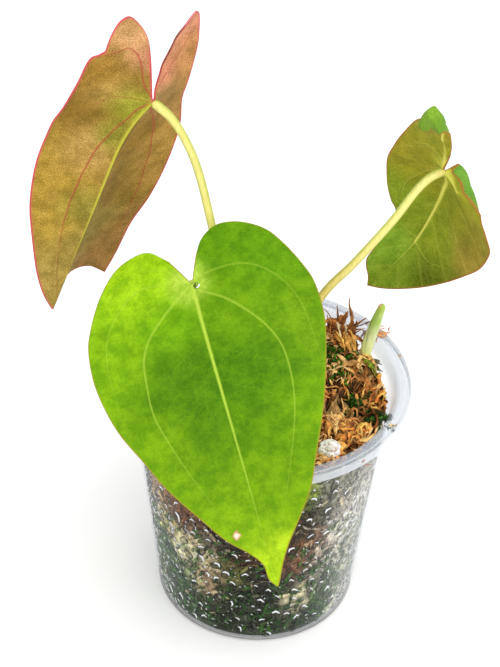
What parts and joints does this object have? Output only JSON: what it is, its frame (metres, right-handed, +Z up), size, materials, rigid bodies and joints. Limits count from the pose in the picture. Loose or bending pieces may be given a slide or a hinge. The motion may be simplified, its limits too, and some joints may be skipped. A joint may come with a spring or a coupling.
{
  "type": "potted anthurium papillilaminum hybrid",
  "caption": "Young velvet-leaved anthurium with heart-shaped leaves on long petioles and a rolled new shoot, standing in a clear plastic pot of sphagnum moss.",
  "frame": {"origin": "middle of the pot's flat base", "axes": "+Z up, -Y towards the front, where the front leaf hangs over the rim, +X to the right"},
  "size_m": [0.1742, 0.1558, 0.2541],
  "materials": {
    "clear_plastic": "thin clear plastic, a little hazy at the rim, misted inside",
    "sphagnum": "damp sphagnum moss, brown and cream strands, dark between",
    "green_moss": "living moss, deep green",
    "perlite": "white, porous",
    "stem": "green-brown stem with papery sheaths",
    "leaf_green": "bright green velvet leaf, thin reddish margin",
    "leaf_bronze": "underside of a bronze young leaf, pink veins and margin",
    "leaf_olive": "underside of an olive leaf, brown towards its edge",
    "shoot": "smooth pale green, white towards its foot"
  },
  "bodies": {
    "root": {"pot": "clear_plastic", "sphagnum": "sphagnum", "moss_tuft_1": "green_moss", "moss_tuft_2": "green_moss", "moss_tuft_3": "green_moss", "moss_tuft_4": "green_moss", "perlite_1": "perlite", "perlite_2": "perlite", "perlite_3": "perlite", "crown": "stem", "leaf_front": "leaf_green", "leaf_left": "leaf_bronze", "leaf_right": "leaf_olive", "new_shoot": "shoot"}
  },
  "joints": []
}
